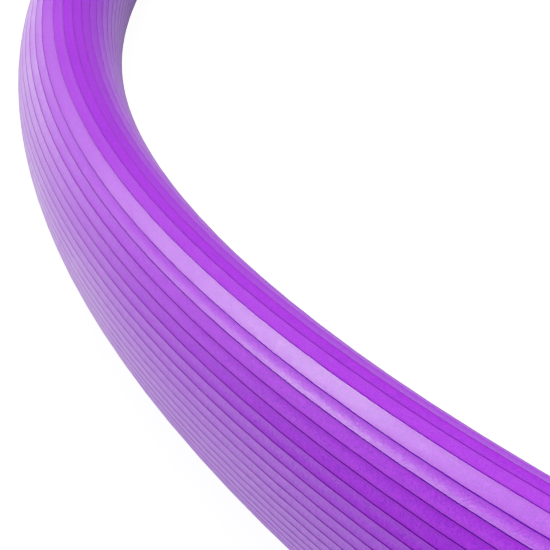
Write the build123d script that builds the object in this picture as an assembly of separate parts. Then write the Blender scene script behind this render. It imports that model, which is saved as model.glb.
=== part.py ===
"""Rhythmic gymnastics hoop: a ribbed plastic tube bent into a ring and closed over a plug.

Frame: origin at the centre of the circle that the hoop rests on, +Z up the hoop's axis,
the joint on +Y. Lengths are in millimetres and angles in degrees.
A place on the tube's section is given by a polar angle about the section's centre:
0 points away from the hoop's axis, 90 points up, and 180 points at the hoop's axis.
"""
from build123d import *
import os
from math import cos, degrees, hypot, radians, sin

os.makedirs("parts", exist_ok=True)

# Ring and tube
RING_RADIUS = 415.0          # hoop's axis to the middle of the tube's section
HALF_WIDTH = 9.0             # of the oval section in the hoop's plane, at the groove line
HALF_HEIGHT = 12.2           # of the oval section along the hoop's axis, at the groove line
WALL = 2.1

# Ribs along the tube
BROAD_RIB_START = 78.0       # the broad rib beside the top, and its mirror image beside the bottom
BROAD_RIB_END = 88.0
OUTER_RIBS = 22              # between the two broad ribs, on the side away from the hoop's axis
INNER_RIBS = 23              # the same, on the side facing the hoop's axis
GROOVE_WIDTH = 0.14
GROOVE_DEPTH = 0.20
FLUTE_DEPTH = 0.035          # how much lower the middle of a rib's hollow face is than its edges
LAND_TRIM = 0.05             # taken off the highest and lowest edges, which leaves flat rings

# Joint
SEAM_ANGLE = 90.0            # about the hoop's axis, from +X
SEAM_GAP = 0.12              # between the tube's two cut ends
SEAM_BEVEL_WIDTH = 0.7       # the shallow channel that the broken edges of the ends leave
SEAM_BEVEL_DEPTH = 0.35
PLUG_LENGTH = 110.0
PLUG_CLEARANCE = 0.10        # between the plug and the tube's bore
PLUG_WALL = 2.0
PLUG_TAPER_LENGTH = 4.0
PLUG_TAPER = 0.6             # how much smaller the plug's ends are, per side

# Staples that hold the plug, crowns on the tube's inner face
STAPLE_OFFSETS = (14.0, 36.0)    # along the tube from the seam, on both sides of it
STAPLE_LENGTH = 10.0
STAPLE_WIDTH = 1.1
STAPLE_THICKNESS = 0.6
STAPLE_LEG = 5.6
STAPLE_STANDOFF = 0.06       # between the middle of the straight crown and the curved tube
STAPLE_CORNER = 0.4
HOLE_CLEARANCE = 0.02

MID_HEIGHT = HALF_HEIGHT - LAND_TRIM
CROWN_FACE = RING_RADIUS - HALF_WIDTH - STAPLE_STANDOFF


def section_point(x, z):
    """A place on the section, x outward and z upward from its centre, as a point on the XZ plane."""
    return Vector(RING_RADIUS + x, 0, MID_HEIGHT + z)


def oval_at(angle, half_width=HALF_WIDTH, half_height=HALF_HEIGHT):
    """The point of an oval that lies in the direction of a polar angle."""
    across, up = cos(radians(angle)), sin(radians(angle))
    reach = 1 / hypot(across / half_width, up / half_height)
    return reach * across, reach * up


def shifted(x, z, outward, along):
    """A point of the groove-line oval moved along its normal and its tangent."""
    nx, nz = x / HALF_WIDTH**2, z / HALF_HEIGHT**2
    size = hypot(nx, nz)
    nx, nz = nx / size, nz / size
    return section_point(x + nx * outward - nz * along, z + nz * outward + nx * along)


def groove_angles():
    """Polar angles of the grooves, once round the section from the lower broad rib's edge."""
    outer_step = 2 * BROAD_RIB_START / OUTER_RIBS
    inner_step = 2 * (180 - BROAD_RIB_END) / INNER_RIBS
    outer = [-BROAD_RIB_START + i * outer_step for i in range(OUTER_RIBS + 1)]
    inner = [BROAD_RIB_END + i * inner_step for i in range(INNER_RIBS + 1)]
    return outer + inner


def oval_wire(half_width, half_height):
    centre = Plane(section_point(0, 0), x_dir=(1, 0, 0), z_dir=(0, -1, 0))
    return Wire([Edge.make_ellipse(half_width, half_height, centre)])


def ribbed_outline():
    """The tube's outer outline: slightly hollow ribs that meet in narrow V grooves."""
    angles = groove_angles()
    edges = []
    for angle, following in zip(angles, angles[1:] + [angles[0] + 360]):
        groove, next_groove = oval_at(angle), oval_at(following)
        bottom = shifted(*groove, -GROOVE_DEPTH, 0)
        rib_start = shifted(*groove, 0, GROOVE_WIDTH / 2)
        rib_end = shifted(*next_groove, 0, -GROOVE_WIDTH / 2)
        next_bottom = shifted(*next_groove, -GROOVE_DEPTH, 0)
        chord = rib_end - rib_start
        outward = Vector(0, 1, 0).cross(chord).normalized()
        middle = (rib_start + rib_end) / 2 - outward * FLUTE_DEPTH
        edges.append(Edge.make_line(bottom, rib_start))
        edges.append(Edge.make_three_point_arc(rib_start, middle, rib_end))
        edges.append(Edge.make_line(rib_end, next_bottom))
    return Wire(edges)


def tube_section():
    """The ribbed section with its bore, trimmed flat at its highest and lowest crests."""
    section = Face(ribbed_outline(), [oval_wire(HALF_WIDTH - WALL, HALF_HEIGHT - WALL)])
    margin = 5.0
    slab = Plane(section_point(0, 0), x_dir=(1, 0, 0), z_dir=(0, -1, 0)) * Rectangle(
        2 * (HALF_WIDTH + margin), 2 * MID_HEIGHT)
    return section & slab


def swept_round(section, length):
    """A section on the XZ plane turned round the hoop's axis, its length centred on the seam."""
    sweep = degrees(length / RING_RADIUS)
    return Rot(0, 0, SEAM_ANGLE - sweep / 2) * revolve(section, Axis.Z, sweep)


def staple_legs(clearance=0.0):
    """Both legs of one staple on +X, grown by a clearance to make their holes."""
    leg_low = CROWN_FACE - STAPLE_THICKNESS / 4
    leg_high = CROWN_FACE + STAPLE_LEG + clearance
    leg = Box(leg_high - leg_low, STAPLE_THICKNESS + 2 * clearance, STAPLE_WIDTH + 2 * clearance)
    leg_y = (STAPLE_LENGTH - STAPLE_THICKNESS) / 2
    middle = (leg_low + leg_high) / 2
    return [Pos(middle, side * leg_y, MID_HEIGHT) * leg for side in (-1, 1)]


def staple():
    """One staple on +X: a crown along the tube, rounded at its bends, and two legs through the wall."""
    crown = Box(STAPLE_THICKNESS, STAPLE_LENGTH, STAPLE_WIDTH)
    crown = fillet(crown.edges().filter_by(Axis.Z).group_by(Axis.X)[0], STAPLE_CORNER)
    shape = Pos(CROWN_FACE - STAPLE_THICKNESS / 2, 0, MID_HEIGHT) * crown
    for leg in staple_legs():
        shape += leg
    return shape


def at_staples(shapes):
    """Copies of shapes on +X, turned to each staple's place beside the seam."""
    placed = []
    for offset in STAPLE_OFFSETS:
        for side in (-1, 1):
            turn = SEAM_ANGLE + side * degrees(offset / RING_RADIUS)
            placed += [Rot(0, 0, turn) * shape for shape in shapes]
    return placed


def seam_channel():
    """The ring of material that the bevelled ends of the tube lack, round the outside of the seam."""
    around = 3.0
    reach = Face(oval_wire(HALF_WIDTH + around, HALF_HEIGHT + around),
                 [oval_wire(HALF_WIDTH - SEAM_BEVEL_DEPTH, HALF_HEIGHT - SEAM_BEVEL_DEPTH)])
    return swept_round(reach, SEAM_BEVEL_WIDTH)


def hoop_tube():
    """The extruded tube, bent round until its cut ends meet at the seam."""
    ring_length = radians(360) * RING_RADIUS - SEAM_GAP
    tube = Rot(0, 0, 180) * swept_round(tube_section(), ring_length)
    tube -= seam_channel()
    for hole in at_staples(staple_legs(HOLE_CLEARANCE)):
        tube -= hole
    return tube


def joint_plug():
    """The hollow plug inside the seam, curved like the tube and tapered at both ends."""
    outer = (HALF_WIDTH - WALL - PLUG_CLEARANCE, HALF_HEIGHT - WALL - PLUG_CLEARANCE)
    bore = oval_wire(outer[0] - PLUG_WALL, outer[1] - PLUG_WALL)
    plug = swept_round(Face(oval_wire(*outer), [bore]), PLUG_LENGTH - 2 * PLUG_TAPER_LENGTH)
    tip_size = (outer[0] - PLUG_TAPER, outer[1] - PLUG_TAPER)
    half_body = degrees((PLUG_LENGTH / 2 - PLUG_TAPER_LENGTH) / RING_RADIUS)
    half_plug = degrees(PLUG_LENGTH / 2 / RING_RADIUS)
    for side in (-1, 1):
        ends = []
        for size, turn in ((outer, half_body), (tip_size, half_plug)):
            ends.append(Rot(0, 0, SEAM_ANGLE + side * turn) * Face(oval_wire(*size), [bore]))
        tip = loft([Face(end.outer_wire()) for end in ends])
        tip -= loft([Face(end.inner_wires()[0]) for end in ends])
        plug += tip
    for hole in at_staples(staple_legs(HOLE_CLEARANCE)):
        plug -= hole
    return plug


def write(name, shape):
    export_step(shape, f"parts/{name}.step")
    print(name, "volume", round(shape.volume), "mm3")


write("hoop_tube", hoop_tube())
write("joint_plug", joint_plug())
write("joint_staples", Compound(children=at_staples([staple()])))
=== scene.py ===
"""Looks for the rhythmic hoop: ribbed purple plastic tube, its joint, floor, lights and camera.

Lengths are in metres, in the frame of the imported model: origin at the centre of the circle that
the hoop rests on, +Z up, the joint on +Y.
"""

import math

import bmesh
import bpy
from mathutils import Matrix, Vector

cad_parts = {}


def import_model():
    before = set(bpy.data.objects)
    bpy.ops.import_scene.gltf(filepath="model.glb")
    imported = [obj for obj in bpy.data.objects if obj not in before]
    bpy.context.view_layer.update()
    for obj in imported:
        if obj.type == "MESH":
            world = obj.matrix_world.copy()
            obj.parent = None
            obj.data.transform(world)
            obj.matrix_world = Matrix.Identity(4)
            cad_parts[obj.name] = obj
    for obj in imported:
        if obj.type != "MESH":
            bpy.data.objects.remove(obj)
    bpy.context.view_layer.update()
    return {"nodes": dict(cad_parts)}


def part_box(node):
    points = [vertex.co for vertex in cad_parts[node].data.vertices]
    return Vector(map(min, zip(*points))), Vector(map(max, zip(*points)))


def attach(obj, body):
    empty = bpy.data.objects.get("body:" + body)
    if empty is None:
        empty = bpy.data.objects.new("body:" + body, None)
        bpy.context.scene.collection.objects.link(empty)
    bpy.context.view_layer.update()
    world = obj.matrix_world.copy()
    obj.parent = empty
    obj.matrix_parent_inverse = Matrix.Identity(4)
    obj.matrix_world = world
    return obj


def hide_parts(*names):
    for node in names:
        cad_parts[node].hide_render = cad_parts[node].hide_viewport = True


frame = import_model()

MM = 0.001

# The tube's section, the same as the CAD tube's
RING_RADIUS = 415.0 * MM
HALF_WIDTH = 9.0 * MM
HALF_HEIGHT = 12.2 * MM
WALL = 2.1 * MM
BROAD_RIB_START = 78.0
BROAD_RIB_END = 88.0
OUTER_RIBS = 22
INNER_RIBS = 23
GROOVE_WIDTH = 0.14 * MM
GROOVE_DEPTH = 0.20 * MM
FLUTE_DEPTH = 0.035 * MM
SEAM_ANGLE = 90.0
SEAM_GAP = 0.12 * MM
SEAM_BEVEL_WIDTH = 0.7 * MM
SEAM_BEVEL_DEPTH = 0.35 * MM

# Staples: the CAD staples' sizes
STAPLE_OFFSETS = (14.0 * MM, 36.0 * MM)
STAPLE_LENGTH = 10.0 * MM
STAPLE_WIDTH = 1.1 * MM
STAPLE_THICKNESS = 0.6 * MM
STAPLE_LEG = 5.6 * MM
STAPLE_STANDOFF = 0.06 * MM

# Staples: detail that the CAD staples lack
STAPLE_BEND = 0.5 * MM           # radius of the wire's middle line
STAPLE_POINT = 1.2 * MM          # length of the tapered tips
STAPLE_EDGE = 0.14 * MM          # rounding of the wire's four edges
TIP_SHARE = 0.25                 # the tips' size as a share of the wire's
CORNER_STEPS = 4                 # mesh steps round each of those edges

# Places taken from the frame
TUBE_LOW, TUBE_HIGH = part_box("hoop_tube")
MID_HEIGHT = (TUBE_LOW[2] + TUBE_HIGH[2]) / 2
CREST_HALF_HEIGHT = (TUBE_HIGH[2] - TUBE_LOW[2]) / 2

# Colours of the plastic
PLASTIC_DEEP = (0.22, 0.001, 0.64, 1)
PLASTIC_PALE = (0.48, 0.024, 1.0, 1)
PLASTIC_WARM = (0.385, 0.008, 0.92, 1)
PLASTIC_WORN = (0.62, 0.30, 0.95, 1)
# Painted shade: the darker colour put on the ribs' edges beside the grooves
PAINTED_EDGE_SHADE = (0.32, 0.003, 0.66, 1)

# Stage: brightness of the floor and the room, for the light they give and as the camera sees them
FLOOR_GLOW = 0.92                # of the floor outside the ring, as light on the hoop
INNER_SHARE = 0.1                # of that light which the floor inside the ring gives
FLOOR_SHOWN = 1.6                # of the floor as the camera sees it
ROOM_GLOW = 0.03                 # of the room, as light on the hoop
FILM_WHITE = 1.8                 # the scene brightness that shows as white
# Scene brightness and how bright it shows, along the film's curve
FILM_SHOULDER = ((0.35, 0.345), (0.53, 0.50), (0.81, 0.68), (1.27, 0.888))

FLOOR_HALF_SIZE = 6.0
LIT_PLACE = (-0.19, -0.37)       # x and y of the part of the ring that the lights face
LIGHT_DISTANCE = 1.5

# Camera: its distance in ring radii, its angles in degrees, and its lens in millimetres
CAMERA_DISTANCE = 1.2208
CAMERA_RISE = 10.668
CAMERA_YAW = -50.878
CAMERA_PITCH = -24.721
CAMERA_ROLL = -11.133
CAMERA_LENS = 116.3454545
CAMERA_SENSOR = 36.0

# Mesh fineness
RING_STEPS = 310
BORE_STEPS = 120
BORE_POINTS = 64
FACE_STEPS = (0.0, 0.25, 0.5, 0.75, 1.0)     # places across a rib's face, as shares of its width
SHARP_ANGLE = math.radians(35)


# ---------------------------------------------------------------- section and mesh helpers

def oval_at(angle, half_width=HALF_WIDTH, half_height=HALF_HEIGHT):
    """The point of an oval that lies in the direction of a polar angle, in degrees."""
    across, up = math.cos(math.radians(angle)), math.sin(math.radians(angle))
    reach = 1 / math.hypot(across / half_width, up / half_height)
    return Vector((reach * across, reach * up))


def oval_normal(point):
    return Vector((point.x / HALF_WIDTH**2, point.y / HALF_HEIGHT**2)).normalized()


def tangent(normal):
    """Along the outline, the way that polar angles grow."""
    return Vector((-normal.y, normal.x))


def groove_angles():
    """Polar angles of the grooves, once round the section from the lower broad rib's edge."""
    outer_step = 2 * BROAD_RIB_START / OUTER_RIBS
    inner_step = 2 * (180 - BROAD_RIB_END) / INNER_RIBS
    outer = [-BROAD_RIB_START + i * outer_step for i in range(OUTER_RIBS + 1)]
    inner = [BROAD_RIB_END + i * inner_step for i in range(INNER_RIBS + 1)]
    return outer + inner


def ribbed_section():
    """The outer outline, x away from the hoop's axis and y up: slightly hollow ribs, narrow grooves.

    Beside each point stands its place on the rib: -1 in a groove, and 0 to 1 across a face.
    """
    points, places = [], []
    angles = groove_angles()
    for angle, following in zip(angles, angles[1:] + [angles[0] + 360]):
        groove, next_groove = oval_at(angle), oval_at(following)
        normal, next_normal = oval_normal(groove), oval_normal(next_groove)
        points.append(groove - normal * GROOVE_DEPTH)
        places.append(-1)
        start = groove + tangent(normal) * GROOVE_WIDTH / 2
        end = next_groove - tangent(next_normal) * GROOVE_WIDTH / 2
        chord = end - start
        outward = Vector((chord.y, -chord.x)).normalized()
        for share in FACE_STEPS:
            hollow = FLUTE_DEPTH * 4 * share * (1 - share)
            points.append(start + chord * share - outward * hollow)
            places.append(share)
    limit = CREST_HALF_HEIGHT
    return [Vector((p.x, max(-limit, min(limit, p.y)))) for p in points], places


def on_ring(point, turn):
    """A section point placed at an angle round the ring, in radians."""
    radius = RING_RADIUS + point.x
    return Vector((radius * math.cos(turn), radius * math.sin(turn), MID_HEIGHT + point.y))


def add_loops(bm, section, turns):
    return [[bm.verts.new(on_ring(p, turn)) for p in section] for turn in turns]


def skin_loops(bm, loops, flip=False):
    count = len(loops[0])
    for near, far in zip(loops, loops[1:]):
        for i in range(count):
            j = (i + 1) % count
            face = (near[i], far[i], far[j], near[j])
            bm.faces.new(reversed(face) if flip else face)


def new_object(name, bm, material):
    bmesh.ops.recalc_face_normals(bm, faces=bm.faces)
    mesh = bpy.data.meshes.new(name)
    bm.to_mesh(mesh)
    bm.free()
    for polygon in mesh.polygons:
        polygon.use_smooth = True
    mesh.set_sharp_from_angle(angle=SHARP_ANGLE)
    mesh.materials.append(material)
    obj = bpy.data.objects.new(name, mesh)
    bpy.context.collection.objects.link(obj)
    return obj


def ring_turns(steps, half_gap):
    """Angles from one side of the seam round the ring to its other side."""
    start = math.radians(SEAM_ANGLE) + half_gap / RING_RADIUS
    sweep = math.radians(360) - 2 * half_gap / RING_RADIUS
    return [start + sweep * i / steps for i in range(steps + 1)]


def add_masks(obj, loops, places):
    """Two masks for the material: one marks the grooves' bottoms, the other the ribs' edges, where shade is
    painted.
    """
    count = len(obj.data.vertices)
    grooves, edges = [0.0] * count, [0.0] * count
    for number in range(loops * len(places)):
        place = places[number % len(places)]
        if place < 0:
            grooves[number] = 1.0
        else:
            edges[number] = float(place in (0, 1))
    for name, values in (("groove", grooves), ("rib_edge_painted_shade", edges)):
        obj.data.attributes.new(name, "FLOAT", "POINT").data.foreach_set("value", values)


def hoop_skin(material):
    """The tube as one closed hollow solid, its ends bevelled and nearly touching at the seam."""
    bm = bmesh.new()
    section, places = ribbed_section()
    bevelled = [p - oval_normal(p) * SEAM_BEVEL_DEPTH for p in section]
    loops = add_loops(bm, section, ring_turns(RING_STEPS, SEAM_BEVEL_WIDTH / 2))
    first, last = add_loops(bm, bevelled, ring_turns(1, SEAM_GAP / 2))
    skin_loops(bm, [first] + loops + [last])
    bore_size = HALF_WIDTH - WALL, HALF_HEIGHT - WALL
    bore = [oval_at(360 * i / BORE_POINTS, *bore_size) for i in range(BORE_POINTS)]
    bore_loops = add_loops(bm, bore, ring_turns(BORE_STEPS, SEAM_GAP / 2))
    skin_loops(bm, bore_loops, flip=True)
    for outer, inner in ((first, bore_loops[0]), (last, bore_loops[-1])):
        rims = []
        for rim in (outer, inner):
            for a, b in zip(rim, rim[1:] + rim[:1]):
                rims.append(bm.edges.get((a, b)))
        bmesh.ops.triangle_fill(bm, edges=rims, use_beauty=True)
    skin = new_object("hoop_skin", bm, material)
    add_masks(skin, len(loops) + 2, places)
    return skin


# ---------------------------------------------------------------- staples

def staple_outline():
    """The wire's rounded rectangle: x across the wire's width, y across its thickness."""
    half_width, half_thickness = STAPLE_WIDTH / 2 - STAPLE_EDGE, STAPLE_THICKNESS / 2 - STAPLE_EDGE
    points = []
    for corner, (x, y) in enumerate(((1, 1), (-1, 1), (-1, -1), (1, -1))):
        for step in range(CORNER_STEPS + 1):
            turn = math.radians(90 * (corner + step / CORNER_STEPS))
            round_off = Vector((math.cos(turn), math.sin(turn))) * STAPLE_EDGE
            points.append(Vector((x * half_width, y * half_thickness)) + round_off)
    return points


def staple_path():
    """The wire's middle line, point to point: places along the tube and outward, and its width there."""
    reach = (STAPLE_LENGTH - STAPLE_THICKNESS) / 2
    crown = -STAPLE_THICKNESS / 2
    half = [(reach, STAPLE_LEG, TIP_SHARE), (reach, STAPLE_LEG - STAPLE_POINT, 1.0)]
    for turn in range(0, 91, 15):
        bend = math.radians(turn)
        along = reach - STAPLE_BEND * (1 - math.cos(bend))
        outward = crown + STAPLE_BEND * (1 - math.sin(bend))
        half.append((along, outward, 1.0))
    return half + [(-along, outward, size) for along, outward, size in reversed(half)]


def add_staple(bm, turn):
    """One bent wire whose crown lies on the tube's inner face at an angle round the ring."""
    outward = Vector((math.cos(turn), math.sin(turn), 0))
    along = Vector((-math.sin(turn), math.cos(turn), 0))
    up = Vector((0, 0, 1))
    crown_face = outward * (RING_RADIUS - HALF_WIDTH - STAPLE_STANDOFF) + up * MID_HEIGHT
    path = [(crown_face + along * a + outward * o, size) for a, o, size in staple_path()]
    loops = []
    for number, (place, size) in enumerate(path):
        before = path[max(number - 1, 0)][0]
        after = path[min(number + 1, len(path) - 1)][0]
        normal = (after - before).cross(up).normalized()
        ring = [place + up * p.x * size + normal * p.y for p in staple_outline()]
        loops.append([bm.verts.new(corner) for corner in ring])
    skin_loops(bm, loops)
    bm.faces.new(loops[0])
    bm.faces.new(loops[-1])


def staple_wires(material):
    """The four staples that hold the plug, two on each side of the seam."""
    bm = bmesh.new()
    for offset in STAPLE_OFFSETS:
        for side in (-1, 1):
            add_staple(bm, math.radians(SEAM_ANGLE) + side * offset / RING_RADIUS)
    return new_object("staple_wires", bm, material)


# ---------------------------------------------------------------- materials

class Shading:
    """A new material, with short ways to add and join its nodes."""

    def __init__(self, name):
        self.material = bpy.data.materials.new(name)
        self.material.use_nodes = True
        self.tree = self.material.node_tree
        self.shader = self.tree.nodes["Principled BSDF"]
        self.place = self.tree.nodes.new("ShaderNodeTexCoord").outputs["Object"]

    def node(self, kind, inputs=None, **settings):
        added = self.tree.nodes.new("ShaderNode" + kind)
        for name, value in settings.items():
            setattr(added, name, value)
        for socket, value in (inputs or {}).items():
            self.feed(added.inputs[socket], value)
        return added

    def feed(self, socket, value):
        if isinstance(value, bpy.types.NodeSocket):
            self.tree.links.new(value, socket)
        else:
            socket.default_value = value

    def math(self, operation, first, second=0.0):
        return self.node("Math", {0: first, 1: second}, operation=operation).outputs[0]

    def noise(self, place, scale, detail=2.0, roughness=0.5):
        inputs = {"Vector": place, "Scale": scale, "Detail": detail, "Roughness": roughness}
        return self.node("TexNoise", inputs).outputs["Fac"]

    def spread(self, value, low, high, start=0.0, end=1.0):
        """A value between start and end, clamped and put between low and high."""
        inputs = {"Value": value, "From Min": start, "From Max": end, "To Min": low, "To Max": high}
        return self.node("MapRange", inputs).outputs["Result"]

    def blend(self, amount, first, second):
        mix = self.node("Mix", data_type="RGBA")
        self.feed(mix.inputs[0], amount)
        self.feed(mix.inputs[6], first)
        self.feed(mix.inputs[7], second)
        return mix.outputs[2]

    def attribute(self, name):
        return self.node("Attribute", attribute_name=name).outputs["Fac"]

    def bump(self, height, depth, strength, below=None):
        """Bumps of a depth in metres on top of those below them."""
        inputs = {"Height": height, "Distance": depth, "Strength": strength}
        if below is not None:
            inputs["Normal"] = below
        return self.node("Bump", inputs).outputs["Normal"]

    def along_tube(self, along_scale, across_scale):
        """A place stretched along the tube, with its break at the hoop's joint."""
        axes = self.node("SeparateXYZ", {"Vector": self.place})
        x, y, z = axes.outputs
        turn = self.math("ARCTAN2", x, self.math("MULTIPLY", y, -1.0))
        radius = self.math("SQRT", self.math("ADD", self.math("POWER", x, 2.0), self.math("POWER", y, 2.0)))
        along = self.math("MULTIPLY", turn, RING_RADIUS * along_scale)
        across = self.math("MULTIPLY", radius, across_scale)
        height = self.math("MULTIPLY", z, across_scale)
        return self.node("CombineXYZ", {"X": along, "Y": across, "Z": height}).outputs[0]


def purple_plastic():
    """Extruded plastic: fine grain, faint die lines, light scuffs, painted shade on the rib edges, rough
    grooves.
    """
    look = Shading("purple_plastic")
    grain = look.spread(look.noise(look.place, 4000.0, 1.0, 0.5), 0.0, 1.0, 0.3, 0.7)
    pebbles = look.noise(look.place, 1300.0, 2.0, 0.5)
    clouds = look.noise(look.place, 38.0, 3.0, 0.5)
    die_lines = look.noise(look.along_tube(7.0, 2600.0), 1.0, 2.0, 0.5)
    handling = look.noise(look.along_tube(60.0, 420.0), 1.0, 4.0, 0.7)
    scuffs = look.spread(handling, 0.0, 1.0, 0.62, 0.78)
    groove = look.attribute("groove")
    edge = look.attribute("rib_edge_painted_shade")

    colour = look.blend(grain, PLASTIC_DEEP, PLASTIC_PALE)
    colour = look.blend(look.spread(clouds, 0.0, 0.3, 0.35, 0.65), colour, PLASTIC_WARM)
    colour = look.blend(look.spread(die_lines, 0.0, 0.15, 0.35, 0.7), colour, PLASTIC_DEEP)
    colour = look.blend(look.math("MULTIPLY", scuffs, 0.08), colour, PLASTIC_WORN)
    # Painted shade: the ribs' edges beside the grooves are darkened
    colour = look.blend(edge, colour, PAINTED_EDGE_SHADE)
    look.feed(look.shader.inputs["Base Color"], colour)

    rough = look.spread(pebbles, 0.34, 0.41, 0.3, 0.7)
    rough = look.math("ADD", rough, look.spread(clouds, -0.03, 0.03, 0.3, 0.7))
    rough = look.math("ADD", rough, look.math("MULTIPLY", scuffs, 0.08))
    rough = look.math("ADD", rough, look.math("MULTIPLY", groove, 0.2))
    look.feed(look.shader.inputs["Roughness"], rough)
    look.shader.inputs["Sheen Weight"].default_value = 0.14
    look.shader.inputs["Sheen Roughness"].default_value = 0.4

    surface = look.bump(die_lines, 0.02 * MM, 0.25)
    surface = look.bump(pebbles, 0.02 * MM, 0.1, surface)
    surface = look.bump(grain, 0.007 * MM, 1.0, surface)
    look.feed(look.shader.inputs["Normal"], surface)
    return look.material


def plug_plastic():
    """Off-white moulded plastic, matte, with flow clouds, fine grain and rub marks from the tube."""
    look = Shading("plug_plastic")
    grain = look.noise(look.place, 2600.0, 3.0, 0.6)
    clouds = look.noise(look.place, 120.0, 4.0, 0.6)
    rubs = look.spread(look.noise(look.along_tube(45.0, 900.0), 1.0, 3.0, 0.6), 0.0, 1.0, 0.58, 0.72)
    colour = look.blend(clouds, (0.80, 0.79, 0.75, 1), (0.86, 0.86, 0.84, 1))
    colour = look.blend(look.math("MULTIPLY", rubs, 0.4), colour, (0.62, 0.60, 0.60, 1))
    look.feed(look.shader.inputs["Base Color"], colour)
    look.feed(look.shader.inputs["Roughness"], look.spread(grain, 0.42, 0.62, 0.3, 0.7))
    look.feed(look.shader.inputs["Normal"], look.bump(grain, 0.03 * MM, 0.4))
    return look.material


def staple_steel():
    """Galvanised wire: drawing lines along it, spangled zinc, and duller marks from the driver."""
    look = Shading("staple_steel")
    lines = look.noise(look.along_tube(220.0, 16000.0), 1.0, 3.0, 0.6)
    zinc = look.node("TexVoronoi", {"Vector": look.place, "Scale": 1500.0}).outputs["Color"]
    spangle = look.node("SeparateColor", {"Color": zinc}).outputs["Red"]
    marks = look.spread(look.noise(look.place, 900.0, 3.0, 0.6), 0.0, 1.0, 0.55, 0.7)
    colour = look.blend(spangle, (0.56, 0.57, 0.59, 1), (0.70, 0.70, 0.70, 1))
    colour = look.blend(look.math("MULTIPLY", marks, 0.5), colour, (0.36, 0.35, 0.35, 1))
    look.feed(look.shader.inputs["Base Color"], colour)
    look.shader.inputs["Metallic"].default_value = 1.0
    rough = look.math("ADD", look.spread(lines, 0.22, 0.38, 0.3, 0.7), look.math("MULTIPLY", marks, 0.2))
    look.feed(look.shader.inputs["Roughness"], rough)
    look.feed(look.shader.inputs["Normal"], look.bump(lines, 0.01 * MM, 0.5))
    return look.material


# ---------------------------------------------------------------- stage

def area_light(name, size, energy, place, target):
    data = bpy.data.lights.new(name, "AREA")
    data.shape = "RECTANGLE"
    data.size, data.size_y = size
    data.energy = energy
    light = bpy.data.objects.new(name, data)
    light.location = place
    light.rotation_mode = "QUATERNION"
    light.rotation_quaternion = (Vector(target) - Vector(place)).to_track_quat("-Z", "Y")
    bpy.context.collection.objects.link(light)


def seen_by_camera(tree, for_light, for_camera, output):
    """One shader lights the object, and another is what the camera sees."""
    path = tree.nodes.new("ShaderNodeLightPath")
    mix = tree.nodes.new("ShaderNodeMixShader")
    tree.links.new(path.outputs["Is Camera Ray"], mix.inputs["Fac"])
    tree.links.new(for_light, mix.inputs[1])
    tree.links.new(for_camera, mix.inputs[2])
    tree.links.new(mix.outputs["Shader"], output)


def shade_inside_ring(tree, shader):
    """Less light from the floor inside the ring, set by the look of the tube's inner side."""
    place = tree.nodes.new("ShaderNodeTexCoord")
    radius = tree.nodes.new("ShaderNodeVectorMath")
    radius.operation = "LENGTH"
    glow = tree.nodes.new("ShaderNodeMapRange")
    glow.inputs["From Min"].default_value = RING_RADIUS - HALF_WIDTH
    glow.inputs["From Max"].default_value = RING_RADIUS + 2 * HALF_WIDTH
    glow.inputs["To Min"].default_value = FLOOR_GLOW * INNER_SHARE
    glow.inputs["To Max"].default_value = FLOOR_GLOW
    tree.links.new(place.outputs["Object"], radius.inputs[0])
    tree.links.new(radius.outputs["Value"], glow.inputs["Value"])
    tree.links.new(glow.outputs["Result"], shader.inputs["Emission Strength"])


def floor():
    """A plain pale floor that glows, less as light on the hoop than as the camera sees it."""
    bm = bmesh.new()
    half = FLOOR_HALF_SIZE
    corners = ((-half, -half), (half, -half), (half, half), (-half, half))
    bm.faces.new([bm.verts.new((x, y, TUBE_LOW[2])) for x, y in corners])
    material = bpy.data.materials.new("pale_floor")
    material.use_nodes = True
    nodes = material.node_tree.nodes
    shaders = [nodes["Principled BSDF"], nodes.new("ShaderNodeBsdfPrincipled")]
    for shader, glow in zip(shaders, (FLOOR_GLOW, FLOOR_SHOWN)):
        shader.inputs["Base Color"].default_value = (0.3, 0.3, 0.3, 1)
        shader.inputs["Roughness"].default_value = 0.9
        shader.inputs["Emission Color"].default_value = (1, 1, 1, 1)
        shader.inputs["Emission Strength"].default_value = glow
    shade_inside_ring(material.node_tree, shaders[0])
    surface = nodes["Material Output"].inputs["Surface"]
    seen_by_camera(material.node_tree, shaders[0].outputs[0], shaders[1].outputs[0], surface)
    new_object("floor", bm, material)


def world():
    """A dim room as light on the hoop, which the camera sees as white."""
    room = bpy.data.worlds.new("room")
    room.use_nodes = True
    nodes = room.node_tree.nodes
    dim = nodes["Background"]
    dim.inputs["Strength"].default_value = ROOM_GLOW
    pale = nodes.new("ShaderNodeBackground")
    for background in (dim, pale):
        background.inputs["Color"].default_value = (1, 1, 1, 1)
    pale.inputs["Strength"].default_value = FILM_WHITE
    surface = nodes["World Output"].inputs["Surface"]
    seen_by_camera(room.node_tree, dim.outputs[0], pale.outputs[0], surface)
    bpy.context.scene.world = room


def film_response():
    """A camera's soft shoulder, which holds bright colours back before they turn white."""
    view = bpy.context.scene.view_settings
    view.view_transform = "Standard"
    view.use_curve_mapping = True
    mapping = view.curve_mapping
    mapping.white_level = (FILM_WHITE, FILM_WHITE, FILM_WHITE)
    for light, shown in FILM_SHOULDER:
        mapping.curves[3].points.new(light / FILM_WHITE, shown)
    mapping.update()


def from_angles(azimuth, elevation):
    """A direction from its angle about +Z, counted from +X, and its angle above the horizon."""
    level = math.cos(math.radians(elevation))
    turn = math.radians(azimuth)
    return Vector((level * math.cos(turn), level * math.sin(turn), math.sin(math.radians(elevation))))


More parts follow.
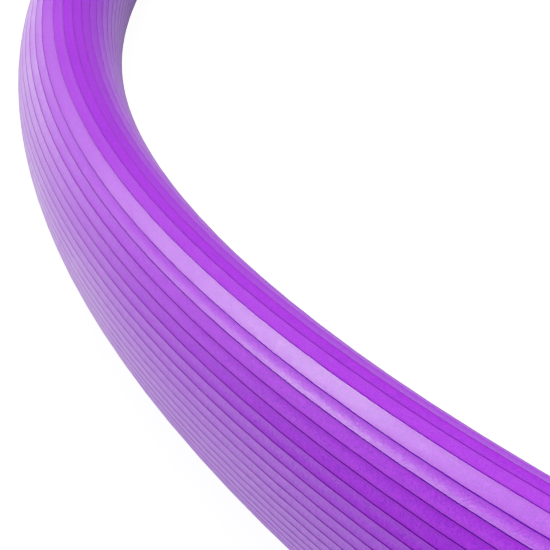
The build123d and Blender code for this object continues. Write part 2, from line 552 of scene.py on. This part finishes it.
def studio_light(name, azimuth, elevation, size, energy):
    """A soft panel facing the part of the ring that the camera looks at: degrees, metres and watts."""
    lit_place = Vector((*LIT_PLACE, MID_HEIGHT))
    panel_place = lit_place + LIGHT_DISTANCE * from_angles(azimuth, elevation)
    area_light(name, size, energy, panel_place, lit_place)


def lights():
    studio_light("key_softbox", 163, 40, (0.54, 0.24), 9.6)
    studio_light("low_strip", 166, 4, (0.7, 0.15), 1.3)
    studio_light("side_panel", 192, 24, (0.6, 0.5), 1.3)
    studio_light("fill_panel", 100, 60, (0.9, 0.9), 12.2)
    studio_light("top_panel", 200, 86, (0.9, 0.9), 17.0)


def camera():
    """The one camera, turned by its yaw and pitch and then rolled about its own axis."""
    rise = math.radians(CAMERA_RISE)
    yaw, pitch, roll = map(math.radians, (CAMERA_YAW, CAMERA_PITCH, CAMERA_ROLL))
    level, height = CAMERA_DISTANCE * math.cos(rise), CAMERA_DISTANCE * math.sin(rise)
    place = Vector((0, -level, height)) * RING_RADIUS
    place.z += MID_HEIGHT
    forward = Vector((math.sin(yaw) * math.cos(pitch), math.cos(yaw) * math.cos(pitch), math.sin(pitch)))
    right = forward.cross(Vector((0, 0, 1))).normalized()
    up = right.cross(forward)
    rolled_right = math.cos(roll) * right + math.sin(roll) * up
    rolled_up = math.cos(roll) * up - math.sin(roll) * right
    data = bpy.data.cameras.new("camera")
    data.sensor_width = CAMERA_SENSOR
    data.lens = CAMERA_LENS
    data.clip_start = 0.01
    obj = bpy.data.objects.new("camera", data)
    axes = Matrix((rolled_right, rolled_up, -forward)).transposed()
    obj.matrix_world = Matrix.Translation(place) @ axes.to_4x4()
    bpy.context.collection.objects.link(obj)
    bpy.context.scene.camera = obj


skin = hoop_skin(purple_plastic())
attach(skin, "root")
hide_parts("hoop_tube")

staples = staple_wires(staple_steel())
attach(staples, "root")
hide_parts("joint_staples")

plug = frame["nodes"]["joint_plug"]
plug.material_slots[0].material = plug_plastic()

floor()
world()
lights()
camera()
film_response()
